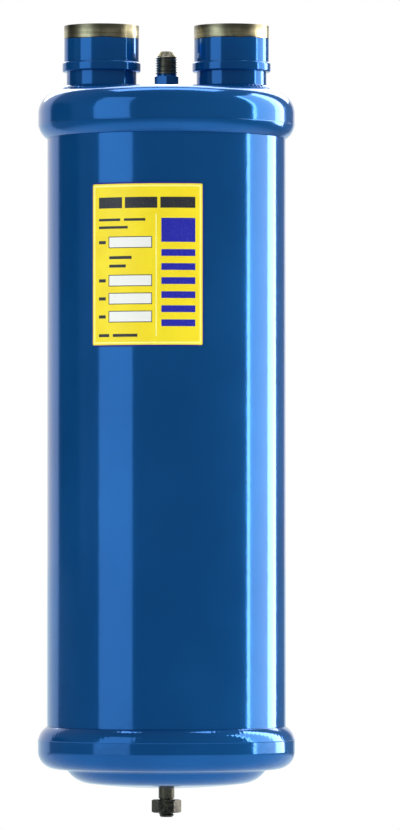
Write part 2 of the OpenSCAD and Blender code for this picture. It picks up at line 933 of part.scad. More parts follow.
module float_lever() {
  color(steel)
    difference() {
      union() {
        translate([-lever_w / 2, tab_y, pivot_z - lever_t / 2])
          cube([lever_w, pivot_y - tab_y, lever_t]);
        translate([0, pivot_y, pivot_z])
          rotate([0, 90, 0])
            cylinder(h = lever_w, r = barrel_r, center = true);
        translate([-lever_w / 2, tab_y, pivot_z - lever_t / 2])
          cube([lever_w, tab_t, tab_rise + lever_t / 2]);
        translate([0, tab_y, float_z])
          rotate([-90, 0, 0])
            cylinder(h = tab_t, d = lever_w);
      }
      translate([0, pivot_y, pivot_z])
        rotate([0, 90, 0])
          cylinder(h = lever_w + 2 * cut, r = pin_r + pin_clearance, center = true);
      translate([0, needle_y, pivot_z - lever_t])
        cylinder(h = 2 * lever_t, r = notch_r);
      translate([-lever_w, needle_y - notch_r, pivot_z - lever_t])
        cube([lever_w, 2 * notch_r, 2 * lever_t]);
      translate([0, tab_y - cut, float_z])
        rotate([-90, 0, 0])
          cylinder(h = tab_t + 2 * cut, r = boss_stud_d / 2 + seat_gap);
    }
}

module float_inner_half() {
  color(copper)
    translate([0, float_y, float_z])
      float_half();
}

module float_outer_half() {
  color(copper)
    translate([0, float_y, float_z])
      mirror([0, 1, 0])
        float_half();
}

module float_boss() {
  color(brass)
    difference() {
      union() {
        translate([0, boss_y - 1, float_z])
          rotate([-90, 0, 0])
            cylinder(h = boss_l + 1, d = boss_d);
        translate([0, tab_y, float_z])
          rotate([-90, 0, 0])
            cylinder(h = boss_end_y - tab_y, d = boss_stud_d);
      }
      translate([0, float_y, float_z])
        sphere(r = float_r + seat_gap);
    }
}

module float_nut() {
  color(brass)
    translate([0, tab_y + tab_t, float_z])
      rotate([-90, 0, 0])
        hex_nut(boss_nut_af, boss_nut_h, boss_stud_d / 2 + seat_gap);
}

module sump_magnet() {
  color([0.2, 0.2, 0.21])
    translate([0, 0, crown_in_z(magnet_d / 2) + seat_gap])
      difference() {
        cylinder(h = magnet_h, d = magnet_d);
        translate([0, 0, -cut])
          cylinder(h = magnet_h + 2 * cut, d = magnet_d * 0.45);
      }
}

shell();
top_head();
bottom_head();
upper_girth_weld();
lower_girth_weld();
inlet_stub();
outlet_stub();
inlet_stub_weld();
outlet_stub_weld();
oil_return_fitting();
fitting_weld();
mounting_stud();
mounting_nut();
rating_label();
inlet_core();
inlet_mesh();
inlet_ring();
inlet_cup();
outlet_core();
outlet_mesh();
outlet_ring();
outlet_cup();
baffle_plate();
oil_return_tube();
valve_body();
valve_seat();
passage_plug();
float_bracket();
bracket_screw_left();
bracket_screw_right();
lever_pin();
pin_clip_left();
pin_clip_right();
needle();
float_lever();
float_inner_half();
float_outer_half();
float_boss();
float_nut();
sump_magnet();
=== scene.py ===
import json
import math

import bmesh
import bpy
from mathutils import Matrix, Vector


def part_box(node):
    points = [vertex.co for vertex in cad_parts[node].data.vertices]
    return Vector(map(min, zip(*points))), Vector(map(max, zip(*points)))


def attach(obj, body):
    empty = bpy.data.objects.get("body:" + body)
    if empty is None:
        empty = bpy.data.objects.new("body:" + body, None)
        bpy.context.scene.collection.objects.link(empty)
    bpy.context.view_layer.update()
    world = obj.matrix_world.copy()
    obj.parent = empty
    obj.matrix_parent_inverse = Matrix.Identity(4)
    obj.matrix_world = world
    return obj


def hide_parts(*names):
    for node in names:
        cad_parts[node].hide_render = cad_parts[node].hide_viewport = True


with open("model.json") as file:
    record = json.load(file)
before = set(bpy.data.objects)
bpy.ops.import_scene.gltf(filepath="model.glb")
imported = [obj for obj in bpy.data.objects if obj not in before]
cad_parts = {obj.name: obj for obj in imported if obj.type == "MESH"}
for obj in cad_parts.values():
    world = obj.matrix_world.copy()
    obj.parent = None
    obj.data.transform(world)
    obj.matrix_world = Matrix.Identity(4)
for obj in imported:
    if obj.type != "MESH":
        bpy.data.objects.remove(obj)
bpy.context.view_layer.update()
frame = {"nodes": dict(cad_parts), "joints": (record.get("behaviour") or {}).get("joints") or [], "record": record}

# Shell: a steel tube, welded to the two heads and sprayed with them in one coat of glossy blue
# lacquer. The coat has a faint orange peel, a few dust nibs and slightly uneven gloss.
shell_low, shell_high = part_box("shell")
shell_r = (shell_high[0] - shell_low[0]) / 2
LACQUER_DARK = (0.004, 0.089, 0.310, 1)
LACQUER_LIGHT = (0.006, 0.106, 0.355, 1)
LACQUER_METALLIC = 0.55
LACQUER_ROUGHNESS = 0.09
LACQUER_ROUGHNESS_DRIFT = 0.06
LACQUER_CLEAR = 0.25
LACQUER_CLEAR_ROUGHNESS = 0.03
LACQUER_SHEEN = 0.15
LACQUER_PEEL = 0.00002  # height of the orange peel
LACQUER_NIB = 0.8  # height of a dust nib, in peels
TONE_WAVES = 14  # these four are counts to the metre
GLOSS_WAVES = 45
PEEL_WAVES = 420
NIB_CELLS = 70.0


class Wire:
    """A socket of a material or a shape. Sums with it add Math nodes, and add() any other node."""

    def __init__(self, tree, socket=None):
        self.tree = tree
        self.socket = socket

    def add(self, kind, settings, sockets, out=0):
        node = self.tree.nodes.new(kind)
        for name, value in settings.items():
            setattr(node, name, value)
        for name, value in sockets.items():
            if isinstance(value, Wire):
                self.tree.links.new(value.socket, node.inputs[name])
            else:
                node.inputs[name].default_value = value
        return Wire(self.tree, node.outputs[out])

    def sum(self, operation, a, b):
        return self.add("ShaderNodeMath", {"operation": operation}, {0: a, 1: b})

    def __add__(self, other):
        return self.sum("ADD", self, other)

    def __radd__(self, other):
        return self.sum("ADD", other, self)

    def __sub__(self, other):
        return self.sum("SUBTRACT", self, other)

    def __rsub__(self, other):
        return self.sum("SUBTRACT", other, self)

    def __mul__(self, other):
        return self.sum("MULTIPLY", self, other)

    def __rmul__(self, other):
        return self.sum("MULTIPLY", other, self)

    def __truediv__(self, other):
        return self.sum("DIVIDE", self, other)

    def __rtruediv__(self, other):
        return self.sum("DIVIDE", other, self)

    def __gt__(self, other):
        return self.sum("GREATER_THAN", self, other)

    def __lt__(self, other):
        return self.sum("LESS_THAN", self, other)

    def larger(self, other):
        return self.sum("MAXIMUM", self, other)

    def smaller(self, other):
        return self.sum("MINIMUM", self, other)

    def apply(self, operation):
        """A Math node that takes this value alone, such as SINE."""
        return self.add("ShaderNodeMath", {"operation": operation}, {0: self})

    def split(self):
        """The x, y and z of a vector, each as a wire of its own."""
        first = self.add("ShaderNodeSeparateXYZ", {}, {0: self})
        return [Wire(self.tree, socket) for socket in first.socket.node.outputs]

    def ramp_flat(self, low, high):
        """0 at low, 1 at high, straight between and level beyond."""
        return self.add("ShaderNodeMapRange", {}, {0: self, 1: low, 2: high, 3: 0.0, 4: 1.0})

    def ramp(self, low, high):
        """0 at low, 1 at high, smooth between and level beyond."""
        settings = {"interpolation_type": "SMOOTHSTEP"}
        return self.add("ShaderNodeMapRange", settings, {0: self, 1: low, 2: high, 3: 0.0, 4: 1.0})

    def tint(self, dark, light):
        """Colour that goes from dark at 0 to light at 1."""
        return self.add("ShaderNodeMix", {"data_type": "RGBA"}, {0: self, 6: dark, 7: light}, 2)


def start_finish(name):
    """A new material with its Principled shader, and a wire for its place on the object."""
    material = bpy.data.materials.new(name)
    material.use_nodes = True
    tree = material.node_tree
    place = Wire(tree).add("ShaderNodeTexCoord", {}, {}, "Object")
    return material, tree.nodes["Principled BSDF"], place


def grain(place, waves, detail=2.0, stretch=(1, 1, 1), rough=0.5):
    """Noise from 0 to 1 over the object, with so many waves a metre, stretched along its axes."""
    stretched = place.add("ShaderNodeMapping", {}, {"Vector": place, "Scale": stretch})
    sockets = {"Vector": stretched, "Scale": waves, "Detail": detail, "Roughness": rough}
    return place.add("ShaderNodeTexNoise", {"noise_dimensions": "3D"}, sockets)


def connect(shader, **links):
    """Sets the shader's sockets by name, with _ for a space."""
    for name, value in links.items():
        socket = shader.inputs[name.replace("_", " ")]
        if isinstance(value, Wire):
            value.tree.links.new(value.socket, socket)
        else:
            socket.default_value = value


def relief(place, height, distance):
    """Normal of a surface that stands height times distance metres proud."""
    sockets = {"Height": height, "Distance": distance, "Strength": 1.0}
    return place.add("ShaderNodeBump", {}, sockets)


def dress(material, *names):
    """Gives CAD nodes that keep their shape the material."""
    for name in names:
        materials = frame["nodes"][name].data.materials
        materials.clear()
        materials.append(material)


def lacquer_coat(place):
    """Colour, gloss and relief of the blue coat, for a piece that is coated all over or in part."""
    colour = grain(place, TONE_WAVES, 3.0).ramp(0.35, 0.7).tint(LACQUER_DARK, LACQUER_LIGHT)
    gloss = LACQUER_ROUGHNESS + LACQUER_ROUGHNESS_DRIFT * grain(place, GLOSS_WAVES)
    peel = grain(place, PEEL_WAVES, 1.0)
    cells = {"Vector": place, "Scale": NIB_CELLS}
    from_nib = place.add("ShaderNodeTexVoronoi", {"feature": "F1"}, cells)
    return colour, gloss, peel + LACQUER_NIB * (1 - from_nib.ramp(0.02, 0.05))


lacquer, shader, place = start_finish("blue_lacquer")
coat_colour, coat_gloss, coat_height = lacquer_coat(place)
connect(shader, Base_Color=coat_colour, Roughness=coat_gloss, Metallic=LACQUER_METALLIC)
connect(shader, Coat_Weight=LACQUER_CLEAR, Coat_Roughness=LACQUER_CLEAR_ROUGHNESS)
connect(shader, Specular_IOR_Level=LACQUER_SHEEN)
connect(shader, Normal=relief(place, coat_height, LACQUER_PEEL))
dress(lacquer, "shell")

# Heads: two caps pressed from thick sheet, slid over the ends of the shell. The bottom one has a
# pan pressed into it. They carry the same coat as the shell.
dress(lacquer, "top_head", "bottom_head")

# Girth welds: fillets laid by a turning rig where the skirts of the heads end on the shell, so
# each is an even row of shallow crescents under the coat.
GIRTH_SIDES = 1080
GIRTH_BULGE = 0.00085
GIRTH_RIPPLE = 0.000016
GIRTH_RIPPLE_PITCH = 0.0026
scene = bpy.context.scene


def shape_tree(name, inputs):
    """A Geometry Nodes tree with named sizes, and a wire for each of them."""
    tree = bpy.data.node_groups.new(name, "GeometryNodeTree")
    for label, kind in inputs.items():
        tree.interface.new_socket(label, in_out="INPUT", socket_type="NodeSocket" + kind)
    tree.interface.new_socket("Shape", in_out="OUTPUT", socket_type="NodeSocketGeometry")
    given = tree.nodes.new("NodeGroupInput")
    return tree, {label: Wire(tree, given.outputs[label]) for label in inputs}


def close_tree(tree, shape, material):
    """Ends a tree: instances become mesh, and the mesh gets its material."""
    shape = shape.add("GeometryNodeRealizeInstances", {}, {"Geometry": shape})
    shape = shape.add("GeometryNodeSetShadeSmooth", {}, {"Geometry": shape})
    shape = shape.add("GeometryNodeSetMaterial", {}, {"Geometry": shape, "Material": material})
    tree.links.new(shape.socket, tree.nodes.new("NodeGroupOutput").inputs[0])


def grow(name, tree, sizes):
    """The tree's shape at these sizes, as a plain closed mesh on an object of its own."""
    piece = bpy.data.objects.new(name, bpy.data.meshes.new(name))
    scene.collection.objects.link(piece)
    maker = piece.modifiers.new("maker", "NODES")
    maker.node_group = tree
    for item in tree.interface.items_tree:
        if item.in_out == "INPUT":
            maker[item.identifier] = sizes[item.name]
    grown = piece.evaluated_get(bpy.context.evaluated_depsgraph_get())
    mesh = bpy.data.meshes.new_from_object(grown)
    piece.modifiers.remove(maker)
    piece.data = mesh
    tidy = bmesh.new()
    tidy.from_mesh(mesh)
    loose = [edge for edge in tidy.edges if not edge.link_faces]
    bmesh.ops.delete(tidy, geom=loose, context="EDGES")
    bmesh.ops.recalc_face_normals(tidy, faces=tidy.faces)
    tidy.to_mesh(mesh)
    tidy.free()
    return piece


def flat_grid(around, along):
    """A grid that a tree rolls up: the mesh, and its two coordinates from 0 to 1."""
    flat = {"Vertices X": around, "Vertices Y": along, "Size X": 1.0, "Size Y": 1.0}
    grid = around.add("GeometryNodeMeshGrid", {}, flat)
    x, y, _ = around.add("GeometryNodeInputPosition", {}, {}).split()
    return grid, x + 0.5, y + 0.5


def rolled(grid, u, radius, height, centre_x):
    """Rolls the grid about an upright axis and joins its seams."""
    turn = u * math.tau
    x = centre_x + radius * turn.apply("COSINE")
    y = radius * turn.apply("SINE")
    spot = turn.add("ShaderNodeCombineXYZ", {}, {"X": x, "Y": y, "Z": height})
    shape = turn.add("GeometryNodeSetPosition", {}, {"Geometry": grid, "Position": spot})
    return turn.add("GeometryNodeMergeByDistance", {}, {"Geometry": shape, "Distance": 1e-6})


# The bead's section is a bulging face from toe to foot, closed by its two straight legs
bead_tree, bead = shape_tree("weld_bead", {
    "Around": "Int", "Toe Radius": "Float", "Foot Radius": "Float", "Toe Z": "Float",
    "Foot Z": "Float", "Bulge": "Float", "Ripples": "Float", "Ripple Height": "Float",
    "Centre X": "Float"})
BEAD_ROWS = 21
BEAD_FACE = 0.8  # share of the rows on the face
CRESCENT_LAG = 0.3  # how far the middle of a ripple trails its ends, in ripples
grid, u, v = flat_grid(bead["Around"], BEAD_ROWS)
face = (v / BEAD_FACE).ramp_flat(0, 1)
legs = (v - BEAD_FACE) / ((1 - BEAD_FACE) / 2)
floor_leg = legs.ramp_flat(0, 1)
wall_leg = (legs - 1).ramp_flat(0, 1)
reach = bead["Foot Radius"] - bead["Toe Radius"]
rise = bead["Foot Z"] - bead["Toe Z"]
slant = (reach * reach + rise * rise).apply("SQRT")
arch = (face * math.pi).apply("SINE")
crescent = (math.tau * (bead["Ripples"] * u + CRESCENT_LAG * arch)).apply("SINE")
proud = arch * (bead["Bulge"] + bead["Ripple Height"] * crescent)
radius = bead["Toe Radius"] + reach * (face - floor_leg) + proud * rise.apply("ABSOLUTE") / slant
height = bead["Toe Z"] + rise * (face - wall_leg) - proud * rise.apply("SIGN") * reach / slant
close_tree(bead_tree, rolled(grid, u, radius, height, bead["Centre X"]), lacquer)

for name, toe, foot in (("upper_girth_weld", 0, 1), ("lower_girth_weld", 1, 0)):
    low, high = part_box(name)
    ends = (low[2], high[2])
    weld_r = (high[0] - low[0]) / 2
    weld = grow(name + "_bead", bead_tree, {
        "Around": GIRTH_SIDES, "Toe Radius": shell_r, "Foot Radius": weld_r, "Toe Z": ends[toe],
        "Foot Z": ends[foot], "Bulge": GIRTH_BULGE, "Ripple Height": GIRTH_RIPPLE,
        "Ripples": round(math.tau * shell_r / GIRTH_RIPPLE_PITCH), "Centre X": 0.0})
    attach(weld, "vessel")
    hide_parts(name)

# Stubs: steel solder sockets with a rolled stop bead, plated before the vessel was sprayed. The
# spray was masked at the mouth, so the top few millimetres and the bore are bare.
# The bare lip is darkened towards the mouth with painted shade.
stub_low, stub_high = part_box("outlet_stub")
stub_x = (stub_low[0] + stub_high[0]) / 2
mounts = {mount["name"]: mount["dims"] for mount in frame["record"]["mounts"]}
socket_r = mounts["outlet_socket"]["r_mm"] / 1000
BARE_BAND = 0.0062
SPRAY_FADE = 0.0007
SPRAY_WAVER = 0.0016
SPRAY_WAVER_WAVES = 90
BORE_COATED = 0.00014  # coated from so far outside the bore, and bare within so little
BORE_BARE = 0.00006
LIP_SHADE_FROM = 0.0055  # depths below the mouth at which painted shade starts to darken the lip and is full
LIP_SHADE_FULL = 0.0025
STUB_RINGS = 1400
PLATING_DARK = (0.20, 0.185, 0.125, 1)
PLATING_LIGHT = (0.62, 0.56, 0.36, 1)
PLATING_ROUGHNESS = 0.12  # beyond the coat's
STAIN_ROUGHNESS = 0.15
STAIN_WAVES = 160
SPRAY_LIP = (0.004, 0.006, 0.012, 1)
SPRAY_THICKNESS = 3.0  # this and the next two are heights, in peels
SPRAY_PEEL = 0.2
LATHE_MARKS = 0.6


def part_bare(name, bare, plating_dark, plating_light, rings):
    """Finish of a piece that is coated except where bare is 1, with turned rings in the metal."""
    material, shader, place = start_finish(name)
    mask, darkening = bare(place)
    coated = 1 - mask
    colour, gloss, coat = lacquer_coat(place)
    lathe = grain(place, rings, 3.0, (0.03, 0.03, 1.0), 0.6)
    stain = grain(place, STAIN_WAVES, 4.0, (1.0, 1.0, 0.5), 0.6)
    # The darkening from bare dims the bare metal: painted shade at the lip of a stub, a darker thread on the
    # union.
    tone = (lathe * 0.5 + stain * 0.6).ramp(0.3, 0.75) * (1 - 0.9 * darkening)
    metal = tone.tint(plating_dark, plating_light)
    edge = mask * coated * 4
    connect(shader, Base_Color=edge.tint(mask.tint(colour, metal), SPRAY_LIP))
    connect(shader, Roughness=gloss + mask * (PLATING_ROUGHNESS + STAIN_ROUGHNESS * stain))
    connect(shader, Metallic=LACQUER_METALLIC + mask * (1 - LACQUER_METALLIC))
    connect(shader, Coat_Weight=LACQUER_CLEAR * coated, Coat_Roughness=LACQUER_CLEAR_ROUGHNESS)
    connect(shader, Specular_IOR_Level=LACQUER_SHEEN)
    step = coat * coated * SPRAY_PEEL + coated * SPRAY_THICKNESS + lathe * mask * LATHE_MARKS
    connect(shader, Normal=relief(place, step, LACQUER_PEEL))
    return material


def bare_mouth(place):
    """1 near the mouth of a stub and in its bore, and how far painted shade darkens the lip."""
    across, depth, height = place.split()
    waver = grain(place, SPRAY_WAVER_WAVES) * SPRAY_WAVER
    band_low = stub_high[2] - BARE_BAND
    top = (height + waver).ramp(band_low, band_low + SPRAY_FADE)
    off_axis = across.apply("ABSOLUTE") - stub_x
    radius = (off_axis * off_axis + depth * depth).apply("SQRT")
    bore = radius.ramp_flat(socket_r + BORE_COATED, socket_r + BORE_BARE)
    # Painted shade: the bare lip darkens towards the mouth, and the metal by the coat's edge stays lighter as a
    # painted highlight.
    darkening = (height - 2 * waver).ramp(stub_high[2] - LIP_SHADE_FROM, stub_high[2] - LIP_SHADE_FULL)
    return top.larger(bore), darkening


stub_finish = part_bare("stub_coat_and_plating", bare_mouth, PLATING_DARK, PLATING_LIGHT,
                        STUB_RINGS)
dress(stub_finish, "inlet_stub", "outlet_stub")

# Stub welds: steel fillets laid by hand round the foot of each stub, where it stands on the top
# head. They are coarser than the girth welds and lie under the same coat.
FOOT_SIDES = 420
FOOT_BULGE = 0.1  # of the leg
FOOT_RIPPLE = 0.00012
FOOT_RIPPLE_PITCH = 0.0026


def foot_weld(name):
    """Fillet round a part that stands on the top head."""
    low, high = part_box(name)
    weld_r = (high[0] - low[0]) / 2
    leg = high[2] - low[2]
    weld = grow(name + "_bead", bead_tree, {
        "Around": FOOT_SIDES, "Toe Radius": weld_r - leg, "Foot Radius": weld_r,
        "Toe Z": high[2], "Foot Z": low[2], "Bulge": FOOT_BULGE * leg,
        "Ripple Height": FOOT_RIPPLE, "Ripples": round(math.tau * weld_r / FOOT_RIPPLE_PITCH),
        "Centre X": (low[0] + high[0]) / 2})
    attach(weld, "vessel")
    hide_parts(name)


foot_weld("inlet_stub_weld")
foot_weld("outlet_stub_weld")

# Oil return fitting: a flare union turned from hexagon bar, with a spigot through the head. The
# hexagon was sprayed with the vessel; the thread and the nose were capped and stayed bare.
fitting_low, fitting_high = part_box("oil_return_fitting")
union_flats = fitting_high[0] - fitting_low[0]
hex_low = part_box("top_head")[1][2]
HEX_HEIGHT = 0.008
hex_top = hex_low + HEX_HEIGHT
SPIGOT_R = 0.0057
UNION_BORE_R = 0.0024
UNION_RELIEF_R = 0.00505
UNION_RELIEF = 0.0012
UNION_CREST_R = 0.00555
UNION_PITCH = 0.00127
UNION_THREAD_DEPTH = 0.00068
NOSE_R = 0.00323
NOSE_SLOPE = 0.7
CAP_COATED = 0.0012  # heights above the hexagon at which the coat starts to fade and is gone
CAP_BARE = 0.0018
CAP_WAVER = 0.0008
CAP_WAVER_WAVES = 300
UNION_BORE_COATED = 0.0003
UNION_BORE_BARE = 0.0001
NOSE_DARK = 0.003  # depths below the tip at which the darker thread gives way to the plain nose
NOSE_PLAIN = 0.002
THREAD_DARKENING = 0.6
UNION_DARK = (0.16, 0.15, 0.12, 1)
UNION_LIGHT = (0.66, 0.62, 0.48, 1)
UNION_RINGS = 2600


def bare_union(place):
    """1 on the thread and the nose, and in the bore; the thread is darker than the nose."""
    across, depth, height = place.split()
    waver = grain(place, CAP_WAVER_WAVES) * CAP_WAVER
    top = (height + waver).ramp(hex_top + CAP_COATED, hex_top + CAP_BARE)
    radius = (across * across + depth * depth).apply("SQRT")
    bore = radius.ramp_flat(UNION_BORE_R + UNION_BORE_COATED, UNION_BORE_R + UNION_BORE_BARE)
    plain_nose = height.ramp(fitting_high[2] - NOSE_DARK, fitting_high[2] - NOSE_PLAIN)
    return top.larger(bore), THREAD_DARKENING - THREAD_DARKENING * plain_nose


union_finish = part_bare("union_coat_and_plating", bare_union, UNION_DARK, UNION_LIGHT,
                         UNION_RINGS)

TURNED_SIDES = 96
SHARP_EDGE = math.radians(25)
CROWN_R = 1.03  # radius at which a crown starts, in half flats
CROWN_ROWS = 4


def hexagon_piece(name, rows, flats, bore, twist, material):
    """A turned piece with a bore; rows are height, largest radius, and whether the flats cut it."""
    levels = list(rows) + [(rows[-1][0], bore, False), (rows[0][0], bore, False)]
    points = []
    for height, limit, cut in levels:
        for step in range(TURNED_SIDES):
            turn = math.tau * step / TURNED_SIDES
            flat_turn = (turn - twist) % (math.pi / 3) - math.pi / 6
            radius = min(limit, flats / 2 / math.cos(flat_turn)) if cut else limit
            points.append((radius * math.cos(turn), radius * math.sin(turn), height))
    faces = []
    for level in range(len(levels)):
        here = level * TURNED_SIDES
        above = (level + 1) % len(levels) * TURNED_SIDES
        for step in range(TURNED_SIDES):
            after = (step + 1) % TURNED_SIDES
            faces.append((here + step, here + after, above + after, above + step))
    mesh = bpy.data.meshes.new(name)
    mesh.from_pydata(points, [], faces)
    mesh.shade_smooth()
    mesh.set_sharp_from_angle(angle=SHARP_EDGE)
    mesh.materials.append(material)
    piece = bpy.data.objects.new(name, mesh)
    scene.collection.objects.link(piece)
    return piece


def crowned(low, high, flats):
    """Rows of a hexagon whose upper corners are turned off at thirty degrees."""
    flush = flats / 2 * CROWN_R
    corner = flats / math.sqrt(3)
    drop = (corner - flush) / math.sqrt(3)
    fall = [drop * row / CROWN_ROWS for row in range(CROWN_ROWS + 1)]
    rows = [(low, corner * 2, True)]
    return rows + [(high - down, flush + down * math.sqrt(3), True) for down in reversed(fall)]


union_rows = [(fitting_low[2], SPIGOT_R, False), (hex_low, SPIGOT_R, False)]
union_rows += crowned(hex_low, hex_top, union_flats)
union_body = hexagon_piece("union_hexagon", union_rows, union_flats, UNION_BORE_R, math.pi / 6,
                           union_finish)

# A threaded end has a plain shank, a relief, the thread and a tapered tip, and may have a bore
thread_tree, thread = shape_tree("threaded_end", {
    "Around": "Int", "Root Z": "Float", "Direction": "Float", "Length": "Float",
    "Shank Radius": "Float", "Shank Length": "Float", "Relief Radius": "Float",
    "Relief Length": "Float", "Crest Radius": "Float", "Pitch": "Float", "Depth": "Float",
    "End Radius": "Float", "End Slope": "Float", "Bore Radius": "Float", "Finish": "Material"})
THREAD_SIDES = 72
THREAD_STEPS = 240
THREAD_OUTSIDE = 232  # steps on the outside; the rest go back down the bore
THREAD_ROOT = 0.1  # shares of a tooth's height at which its flank leaves root and crest
THREAD_CREST = 0.9
RUN_IN = 0.6  # pitches in which the thread reaches its depth
grid, u, v = flat_grid(thread["Around"], THREAD_STEPS + 1)
row = v * THREAD_STEPS
out_share = (row / THREAD_OUTSIDE).ramp_flat(0, 1)
back_share = ((row - THREAD_OUTSIDE - 1) / (THREAD_STEPS - THREAD_OUTSIDE - 1)).ramp_flat(0, 1)
along = thread["Length"] * (out_share - back_share)
height = thread["Root Z"] + thread["Direction"] * along
tooth = (height / thread["Pitch"] - u).apply("FRACT")
crest = (2 * (tooth - 0.5).apply("ABSOLUTE")).ramp_flat(THREAD_ROOT, THREAD_CREST)
plain_length = thread["Shank Length"] + thread["Relief Length"]
threaded = ((along - plain_length) / (RUN_IN * thread["Pitch"])).ramp_flat(0, 1)
cut_radius = thread["Crest Radius"] - thread["Depth"] * (1 - crest) * threaded
in_shank = along < thread["Shank Length"]
in_relief = (along < plain_length) * (1 - in_shank)
outside = in_shank * thread["Shank Radius"] + in_relief * thread["Relief Radius"]
outside = outside + (1 - in_shank - in_relief) * cut_radius
tip = thread["End Radius"] + thread["End Slope"] * (thread["Length"] - along)
outside = outside.smaller(tip)
in_bore = (row > THREAD_OUTSIDE + 0.5) * (row < THREAD_STEPS - 0.5)
radius = outside + in_bore * (thread["Bore Radius"] - outside)
close_tree(thread_tree, rolled(grid, u, radius, height, 0.0), thread["Finish"])

union_thread = grow("union_thread", thread_tree, {
    "Around": THREAD_SIDES, "Root Z": hex_top, "Direction": 1.0,
    "Length": fitting_high[2] - hex_top, "Shank Radius": UNION_RELIEF_R, "Shank Length": 0.0,
    "Relief Radius": UNION_RELIEF_R, "Relief Length": UNION_RELIEF,
    "Crest Radius": UNION_CREST_R, "Pitch": UNION_PITCH, "Depth": UNION_THREAD_DEPTH,
    "End Radius": NOSE_R, "End Slope": NOSE_SLOPE, "Bore Radius": UNION_BORE_R,
    "Finish": union_finish})
for piece in (union_body, union_thread):
    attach(piece, "vessel")
    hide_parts("oil_return_fitting")
foot_weld("fitting_weld")

# Stud: a short steel bar, welded into the pan of the bottom head and threaded below a plain shank.
# It is zinc plated in yellow, which has dulled to a dark brown.
stud_low, stud_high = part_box("mounting_stud")
shank_r = mounts["mounting_stud"]["r_mm"] / 1000
shank_length = mounts["mounting_stud"]["length_mm"] / 1000
STUD_RELIEF_R = 0.0035
STUD_RELIEF = 0.0006
STUD_CREST_R = 0.0039
STUD_PITCH = 0.00125
STUD_THREAD_DEPTH = 0.0006
STUD_TIP_R = 0.0029
STUD_TIP_SLOPE = 1.0
MARK_HEIGHT = 0.000008
CLOUD_SCALE = 0.12  # waves of the cloudy tone for each wave of the marks


def bare_metal(name, dark, light, roughness, waves, stretch=(1, 1, 1)):
    """Finish of uncoated metal: two tones, a worn gloss and fine marks along one way."""
    material, shader, place = start_finish(name)
    marks = grain(place, waves, 3.0, stretch, 0.6)
    cloud = grain(place, waves * CLOUD_SCALE, 3.0)
    tone = (0.6 * marks + 0.6 * cloud).ramp(0.35, 0.8)
    connect(shader, Base_Color=tone.tint(dark, light), Metallic=1.0)
    connect(shader, Roughness=roughness + 0.2 * (cloud - 0.5) + 0.1 * marks)
    connect(shader, Normal=relief(place, marks, MARK_HEIGHT))
    return material


yellow_zinc = bare_metal("dulled_yellow_zinc", dark=(0.012, 0.012, 0.015, 1),
                         light=(0.13, 0.115, 0.085, 1), roughness=0.24, waves=700)
stud = grow("stud_bar", thread_tree, {
    "Around": THREAD_SIDES, "Root Z": stud_high[2], "Direction": -1.0,
    "Length": stud_high[2] - stud_low[2], "Shank Radius": shank_r, "Shank Length": shank_length,
    "Relief Radius": STUD_RELIEF_R, "Relief Length": STUD_RELIEF, "Crest Radius": STUD_CREST_R,
    "Pitch": STUD_PITCH, "Depth": STUD_THREAD_DEPTH, "End Radius": STUD_TIP_R,
    "End Slope": STUD_TIP_SLOPE, "Bore Radius": 0.0, "Finish": yellow_zinc})
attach(stud, "vessel")
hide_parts("mounting_stud")

# Nut: a plain hexagon nut of steel, plated like the stud and crowned at both ends. It is run up the
# stud to hold the vessel to its shelf.
nut_low, nut_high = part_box("mounting_nut")
nut_flats = nut_high[1] - nut_low[1]
nut_half = (nut_high[2] - nut_low[2]) / 2
nut_z = (nut_high[2] + nut_low[2]) / 2
NUT_BORE_R = 0.00405
upper = crowned(0.0, nut_half, nut_flats)
nut_rows = [(nut_z - z, limit, cut) for z, limit, cut in reversed(upper)]
nut_rows += [(nut_z + z, limit, cut) for z, limit, cut in upper[1:]]
nut = hexagon_piece("stud_nut", nut_rows, nut_flats, NUT_BORE_R, 0.0, yellow_zinc)
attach(nut, "mounting_nut")
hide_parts("mounting_nut")

# Label: a printed vinyl sheet stuck to the shell, yellow with dark bars, blue blocks and four
# white fields left for stamping. The print is plain shapes and carries no words.
label_low, label_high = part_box("rating_label")
label_z = (label_low[2] + label_high[2]) / 2
LABEL_TURN = math.radians(9.7)
YELLOW = (0.94, 0.76, 0.012, 1)
DEEP_YELLOW = (0.90, 0.70, 0.010, 1)
PALE_YELLOW = (1.0, 0.93, 0.25, 1)
INK = (0.018, 0.022, 0.035, 1)
EDGE_SHADOW_BLUE = (0.002, 0.004, 0.24, 1)
PRINT_BLUE = (0.004, 0.008, 0.40, 1)
FIELD_WHITE = (0.86, 0.86, 0.82, 1)
# Each shape is left, right, low and high, in millimetres from the middle of the sheet
GROUND = (-28.7, 28.7, -40.2, 40.2)
RIM_OUTSIDE = (-28.0, 28.0, -39.5, 39.5)
RIM_INSIDE = (-27.2, 27.2, -38.7, 38.7)
DIVIDER = (5.1, 5.8, -36, 25)
TITLE = [(-25, -12, 28, 33.5), (-10.5, 6, 28, 33.5), (7.5, 25, 28, 33.5)]
NOTES = [(-25, -13, 21.6, 22.9), (-11, 0, 21.6, 22.9), (-25, -9, 17.8, 19.1), (-19, -7, 2.6, 4.1),
         (-19, -10, -1.6, -0.1), (-25, -19, -36.2, -34.7), (-17, -4, -36.2, -34.7)]
FIELD_LOWS = (8.5, -10.6, -19.6, -28.6)
FIELD_OUTLINE = 0.4
FIELDS = [(-19, 3, low, low + 5) for low in FIELD_LOWS]
TAGS = [(-25, -21, low + 1.7, low + 3.3) for low in FIELD_LOWS]
BLOCKS = [(8, 25, 11, 23)] + [(8, 25, low, low + 3.4) for low in (4, -3, -10, -17, -24, -31)]
FADE_WAVES = 60
SPECK_WAVES = 2500
INK_COVER = 0.95
INK_THICKNESS = 0.000006
VINYL_ROUGHNESS = 0.32
VINYL_ROUGHNESS_DRIFT = 0.12
VINYL_SHEEN = 0.4

